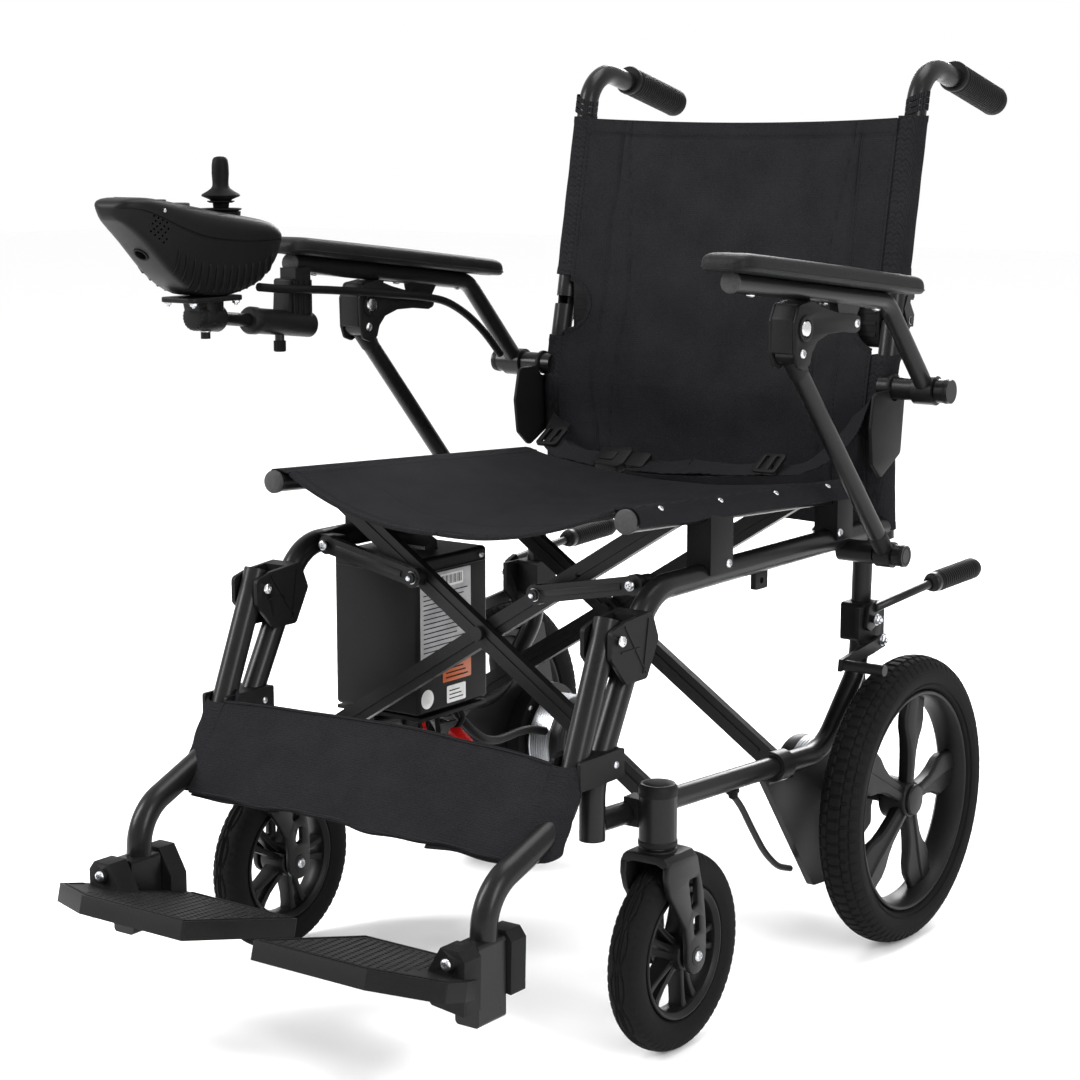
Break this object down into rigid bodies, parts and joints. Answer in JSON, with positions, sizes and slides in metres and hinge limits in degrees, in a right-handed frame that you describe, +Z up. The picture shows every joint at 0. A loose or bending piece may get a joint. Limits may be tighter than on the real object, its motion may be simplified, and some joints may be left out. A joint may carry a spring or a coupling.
{
  "type": "power wheelchair",
  "caption": "Folding power wheelchair with X cross braces, sling seat and back, motorised rear wheels, casters, flip-up armrests and a joystick controller.",
  "frame": {"origin": "on the floor under the middle of the overall box", "axes": "+Z up, +X to the user's left, the chair faces -Y"},
  "size_m": [0.612, 1.1025, 0.9611],
  "materials": {
    "frame_black": "semi-gloss powder coat",
    "brace_black": "satin anodised extrusion",
    "bracket_plastic": "fine grained moulding",
    "motor_black": "satin black, bright gear ring",
    "rim_plastic": "satin moulded rim",
    "tyre_black": "matt rubber",
    "fork_black": "satin cast fork",
    "fabric_black": "woven nylon",
    "webbing": "flat woven strap",
    "footplate_plastic": "textured moulding",
    "pad_black": "moulded skin, matt",
    "arm_plate_plastic": "textured moulding",
    "button_silver": "satin",
    "brake_black": "satin",
    "steel": "zinc plated",
    "battery_black": "satin case",
    "cable_black": "matt sheath",
    "pod_black": "fine grained moulding",
    "stick_rubber": "soft touch",
    "key_grey": "soft key tops"
  },
  "bodies": {
    "left_frame": {"left_side_frame": "frame_black", "left_brackets": "bracket_plastic", "left_side_guard": "bracket_plastic", "left_motor": "motor_black", "back_sling_lower": "fabric_black", "lap_belt": "webbing"},
    "brace_a_body": {"brace_a": "brace_black", "right_seat_rail": "frame_black"},
    "brace_b_body": {"brace_b": "brace_black", "left_seat_rail": "frame_black", "seat_sling": "fabric_black"},
    "right_frame": {"right_side_frame": "frame_black", "right_brackets": "bracket_plastic", "right_side_guard": "bracket_plastic", "right_motor": "motor_black", "battery": "battery_black", "wiring_loom": "cable_black"},
    "left_link": {"left_link_arm": "brace_black"},
    "right_link": {"right_link_arm": "brace_black"},
    "left_caster": {"left_caster_fork": "fork_black"},
    "left_caster_wheel": {"left_caster_rim": "rim_plastic", "left_caster_tyre": "tyre_black"},
    "left_rear_wheel": {"left_rear_rim": "rim_plastic", "left_rear_tyre": "tyre_black"},
    "left_leg_rest": {"left_hanger": "frame_black", "calf_strap": "fabric_black"},
    "left_foot_rest": {"left_footplate": "footplate_plastic"},
    "left_arm": {"left_arm_tube": "frame_black", "left_arm_pad": "pad_black"},
    "left_arm_link": {"left_arm_plate": "arm_plate_plastic"},
    "left_strut": {"left_arm_strut": "frame_black"},
    "left_button": {"left_arm_button": "button_silver"},
    "left_brake": {"left_brake_lever": "brake_black"},
    "left_shoe": {"left_brake_shoe": "steel"},
    "left_back": {"left_upper_cane": "frame_black", "back_sling_upper": "fabric_black"},
    "left_release": {"left_release_lever": "bracket_plastic"},
    "right_caster": {"right_caster_fork": "fork_black"},
    "right_caster_wheel": {"right_caster_rim": "rim_plastic", "right_caster_tyre": "tyre_black"},
    "right_rear_wheel": {"right_rear_rim": "rim_plastic", "right_rear_tyre": "tyre_black"},
    "right_leg_rest": {"right_hanger": "frame_black"},
    "right_foot_rest": {"right_footplate": "footplate_plastic"},
    "right_arm": {"right_arm_tube": "frame_black", "right_arm_pad": "pad_black", "joystick_cable": "cable_black"},
    "right_arm_link": {"right_arm_plate": "arm_plate_plastic"},
    "right_strut": {"right_arm_strut": "frame_black"},
    "right_button": {"right_arm_button": "button_silver"},
    "right_brake": {"right_brake_lever": "brake_black"},
    "right_shoe": {"right_brake_shoe": "steel"},
    "right_back": {"right_upper_cane": "frame_black"},
    "right_release": {"right_release_lever": "bracket_plastic"},
    "pod": {"pod_arm": "pod_black", "pod_housing": "pod_black"},
    "gimbal": {"stick_gimbal": "pod_black"},
    "stick": {"joystick": "stick_rubber"},
    "power_button": {"power_key": "key_grey"},
    "speed_button": {"speed_key": "key_grey"}
  },
  "joints": [
    {"name": "fold", "type": "hinge", "parent": "left_frame", "child": "brace_a_body", "pos_m": [0.221, 0.04242, 0.22522], "axis": [0, 0.9985, -0.0546], "range_deg": [0, 33.5], "deforming": ["seat_sling", "back_sling_lower", "back_sling_upper", "calf_strap", "lap_belt"]},
    {"name": "cross_pivot", "type": "hinge", "parent": "brace_a_body", "child": "brace_b_body", "pos_m": [0, 0.05012, 0.36601], "axis": [0, 0.9985, -0.0546], "range_deg": [-67, 0]},
    {"name": "right_side_fold", "type": "hinge", "parent": "brace_b_body", "child": "right_frame", "pos_m": [-0.221, 0.04242, 0.22522], "axis": [0, 0.9985, -0.0546], "range_deg": [0, 33.5]},
    {"name": "left_link_swing", "type": "hinge", "parent": "left_frame", "child": "left_link", "pos_m": [0.195, -0.16059, 0.45034], "axis": [0, 0.9985, -0.0546], "range_deg": [0, 79.94]},
    {"name": "right_link_swing", "type": "hinge", "parent": "right_frame", "child": "right_link", "pos_m": [-0.195, -0.16059, 0.45034], "axis": [0, 0.9985, -0.0546], "range_deg": [-79.94, 0]},
    {"name": "left_caster_swivel", "type": "hinge", "parent": "left_frame", "child": "left_caster", "pos_m": [0.2545, -0.20888, 0.205], "axis": [0, 0, 1], "continuous": true},
    {"name": "left_caster_roll", "type": "hinge", "parent": "left_caster", "child": "left_caster_wheel", "pos_m": [0.2545, -0.17958, 0.0984], "axis": [1, 0, 0], "continuous": true},
    {"name": "left_wheel_roll", "type": "hinge", "parent": "left_frame", "child": "left_rear_wheel", "pos_m": [0.2815, 0.24212, 0.159], "axis": [1, 0, 0], "continuous": true},
    {"name": "left_leg_rest_swing", "type": "hinge", "parent": "left_frame", "child": "left_leg_rest", "pos_m": [0.221, -0.25288, 0.416], "axis": [-1, 0, 0], "range_deg": [0, 40]},
    {"name": "left_footplate_flip", "type": "hinge", "parent": "left_leg_rest", "child": "left_foot_rest", "pos_m": [0.215, -0.44788, 0.164], "axis": [0, 1, 0], "range_deg": [0, 90]},
    {"name": "left_arm_lift", "type": "hinge", "parent": "left_frame", "child": "left_arm", "pos_m": [0.276, 0.28412, 0.6055], "axis": [-1, 0, 0], "range_deg": [0, 90]},
    {"name": "left_arm_link_turn", "type": "hinge", "parent": "left_arm", "child": "left_arm_link", "pos_m": [0.276, 0.09562, 0.691], "axis": [-1, 0, 0], "range_deg": [-105.35, 0]},
    {"name": "left_strut_turn", "type": "hinge", "parent": "left_frame", "child": "left_strut", "pos_m": [0.276, 0.20012, 0.437], "axis": [-1, 0, 0], "range_deg": [0, 55.73]},
    {"name": "left_arm_button_press", "type": "slide", "parent": "left_arm_link", "child": "left_button", "axis": [-1, 0, 0], "range_m": [0, 0.0025], "stiffness_N_per_m": 200},
    {"name": "left_brake_lever_turn", "type": "hinge", "parent": "left_frame", "child": "left_brake", "pos_m": [0.246, 0.22812, 0.358], "axis": [1, 0, 0], "range_deg": [0, 50]},
    {"name": "left_brake_shoe_turn", "type": "hinge", "parent": "left_frame", "child": "left_shoe", "pos_m": [0.25, 0.24212, 0.333], "axis": [1, 0, 0], "range_deg": [0, 10]},
    {"name": "left_back_fold", "type": "hinge", "parent": "left_frame", "child": "left_back", "pos_m": [0.221, 0.32812, 0.676], "axis": [-1, 0, 0], "range_deg": [0, 110]},
    {"name": "left_release_pull", "type": "hinge", "parent": "left_back", "child": "left_release", "pos_m": [0.221, 0.33612, 0.702], "axis": [-1, 0, 0], "range_deg": [0, 20], "stiffness_Nm_per_rad": 0.3},
    {"name": "right_caster_swivel", "type": "hinge", "parent": "right_frame", "child": "right_caster", "pos_m": [-0.2545, -0.20888, 0.205], "axis": [0, 0, 1], "continuous": true},
    {"name": "right_caster_roll", "type": "hinge", "parent": "right_caster", "child": "right_caster_wheel", "pos_m": [-0.2545, -0.17958, 0.0984], "axis": [1, 0, 0], "continuous": true},
    {"name": "right_wheel_roll", "type": "hinge", "parent": "right_frame", "child": "right_rear_wheel", "pos_m": [-0.2815, 0.24212, 0.159], "axis": [1, 0, 0], "continuous": true},
    {"name": "right_leg_rest_swing", "type": "hinge", "parent": "right_frame", "child": "right_leg_rest", "pos_m": [-0.221, -0.25288, 0.416], "axis": [-1, 0, 0], "range_deg": [0, 40]},
    {"name": "right_footplate_flip", "type": "hinge", "parent": "right_leg_rest", "child": "right_foot_rest", "pos_m": [-0.215, -0.44788, 0.164], "axis": [0, 1, 0], "range_deg": [-90, 0]},
    {"name": "right_arm_lift", "type": "hinge", "parent": "right_frame", "child": "right_arm", "pos_m": [-0.276, 0.28412, 0.6055], "axis": [-1, 0, 0], "range_deg": [0, 90]},
    {"name": "right_arm_link_turn", "type": "hinge", "parent": "right_arm", "child": "right_arm_link", "pos_m": [-0.276, 0.09562, 0.691], "axis": [-1, 0, 0], "range_deg": [-105.35, 0]},
    {"name": "right_strut_turn", "type": "hinge", "parent": "right_frame", "child": "right_strut", "pos_m": [-0.276, 0.20012, 0.437], "axis": [-1, 0, 0], "range_deg": [0, 55.73]},
    {"name": "right_arm_button_press", "type": "slide", "parent": "right_arm_link", "child": "right_button", "axis": [1, 0, 0], "range_m": [0, 0.0025], "stiffness_N_per_m": 200},
    {"name": "right_brake_lever_turn", "type": "hinge", "parent": "right_frame", "child": "right_brake", "pos_m": [-0.246, 0.22812, 0.358], "axis": [1, 0, 0], "range_deg": [0, 50]},
    {"name": "right_brake_shoe_turn", "type": "hinge", "parent": "right_frame", "child": "right_shoe", "pos_m": [-0.25, 0.24212, 0.333], "axis": [1, 0, 0], "range_deg": [0, 10]},
    {"name": "right_back_fold", "type": "hinge", "parent": "right_frame", "child": "right_back", "pos_m": [-0.221, 0.32812, 0.676], "axis": [-1, 0, 0], "range_deg": [0, 110]},
    {"name": "right_release_pull", "type": "hinge", "parent": "right_back", "child": "right_release", "pos_m": [-0.221, 0.33612, 0.702], "axis": [-1, 0, 0], "range_deg": [0, 20], "stiffness_Nm_per_rad": 0.3},
    {"name": "controller_slide", "type": "slide", "parent": "right_arm", "child": "pod", "axis": [0, -0.9937, 0.1125], "range_m": [0, 0.025]},
    {"name": "stick_pitch", "type": "hinge", "parent": "pod", "child": "gimbal", "pos_m": [-0.27, -0.23588, 0.8], "axis": [1, 0, 0], "range_deg": [-18, 18], "stiffness_Nm_per_rad": 0.2},
    {"name": "stick_roll", "type": "hinge", "parent": "gimbal", "child": "stick", "pos_m": [-0.27, -0.23588, 0.8], "axis": [0, 1, 0], "range_deg": [-18, 18], "stiffness_Nm_per_rad": 0.2},
    {"name": "power_key_press", "type": "slide", "parent": "pod", "child": "power_button", "axis": [0, 0, -1], "range_m": [0, 0.0015], "stiffness_N_per_m": 300},
    {"name": "speed_key_press", "type": "slide", "parent": "pod", "child": "speed_button", "axis": [0, 0, -1], "range_m": [0, 0.0015], "stiffness_N_per_m": 300}
  ],
  "couplings": [
    {"joint": "cross_pivot", "follows": "fold", "ratio": -2},
    {"joint": "right_side_fold", "follows": "fold", "ratio": 1},
    {"joint": "left_link_swing", "follows": "fold", "ratio": 2.3863},
    {"joint": "right_link_swing", "follows": "fold", "ratio": -2.3863},
    {"joint": "left_footplate_flip", "follows": "fold", "ratio": 2.6866},
    {"joint": "left_arm_link_turn", "follows": "left_arm_lift", "ratio": -1.1706},
    {"joint": "left_strut_turn", "follows": "left_arm_lift", "ratio": 0.61923},
    {"joint": "left_brake_shoe_turn", "follows": "left_brake_lever_turn", "ratio": 0.2},
    {"joint": "right_footplate_flip", "follows": "fold", "ratio": -2.6866},
    {"joint": "right_arm_link_turn", "follows": "right_arm_lift", "ratio": -1.1706},
    {"joint": "right_strut_turn", "follows": "right_arm_lift", "ratio": 0.61923},
    {"joint": "right_brake_shoe_turn", "follows": "right_brake_lever_turn", "ratio": 0.2},
    {"joint": "right_leg_rest_swing", "follows": "left_leg_rest_swing", "ratio": 1},
    {"joint": "right_back_fold", "follows": "left_back_fold", "ratio": 1}
  ]
}
